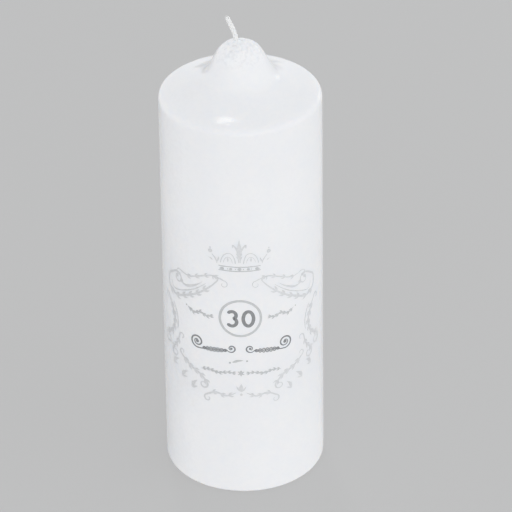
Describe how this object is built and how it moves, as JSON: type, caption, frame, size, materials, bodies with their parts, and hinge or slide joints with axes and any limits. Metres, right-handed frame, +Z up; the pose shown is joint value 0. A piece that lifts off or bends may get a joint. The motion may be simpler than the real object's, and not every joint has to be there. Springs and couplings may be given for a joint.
{
  "type": "unity candle",
  "caption": "White wax pillar candle with a rounded nub, a bent cotton wick and a grey transfer print of a crown, a ringed number and a scrolled frame.",
  "frame": {"origin": "centre of the flat foot face, on the table", "axes": "+Z up along the candle's axis; the print faces -Y; +X is to the right of a viewer who faces the print"},
  "size_m": [0.077, 0.077, 0.241],
  "materials": {
    "coat_wax": "white overdip wax, soft gloss, slightly translucent",
    "core_wax": "pressed granular wax, matt",
    "clip_steel": "thin tinned sheet steel",
    "cotton": "braided cotton with a light wax coat",
    "dark_ink": "dark grey transfer ink",
    "pale_ink": "pale grey transfer ink"
  },
  "bodies": {
    "candle": {"overdip_shell": "coat_wax", "wax_core": "core_wax", "wick_clip": "clip_steel", "wick": "cotton", "centre_mark": "pale_ink", "crown_arch_left": "pale_ink", "crown_arch_right": "pale_ink", "crown_band": "pale_ink", "crown_horn_left": "pale_ink", "crown_horn_right": "pale_ink", "crown_leaf": "pale_ink", "crown_pearl_left": "pale_ink", "crown_pearl_right": "pale_ink", "digit_three": "dark_ink", "digit_zero": "dark_ink", "flourish_left": "dark_ink", "flourish_right": "dark_ink", "frame_corner_left": "pale_ink", "frame_corner_right": "pale_ink", "frame_crest_left": "pale_ink", "frame_crest_right": "pale_ink", "frame_finial": "pale_ink", "frame_foot_left": "pale_ink", "frame_foot_right": "pale_ink", "frame_leaf_inner_left": "pale_ink", "frame_leaf_inner_right": "pale_ink", "frame_leaf_middle_left": "pale_ink", "frame_leaf_middle_right": "pale_ink", "frame_leaf_outer_left": "pale_ink", "frame_leaf_outer_right": "pale_ink", "frame_side_left": "pale_ink", "frame_side_right": "pale_ink", "frame_sweep_left": "pale_ink", "frame_sweep_right": "pale_ink", "frame_volute_left": "pale_ink", "frame_volute_right": "pale_ink", "garland_bud": "pale_ink", "garland_left": "pale_ink", "garland_right": "pale_ink", "number_ring": "dark_ink", "side_line_left": "pale_ink", "side_line_right": "pale_ink"},
    "free_wick": {"wick_end": "cotton"}
  },
  "joints": [
    {"name": "wick_bend", "type": "hinge", "parent": "candle", "child": "free_wick", "pos_m": [-0.0019, 0, 0.2288], "axis": [0, 1, 0], "range_deg": [-50, 90]}
  ]
}
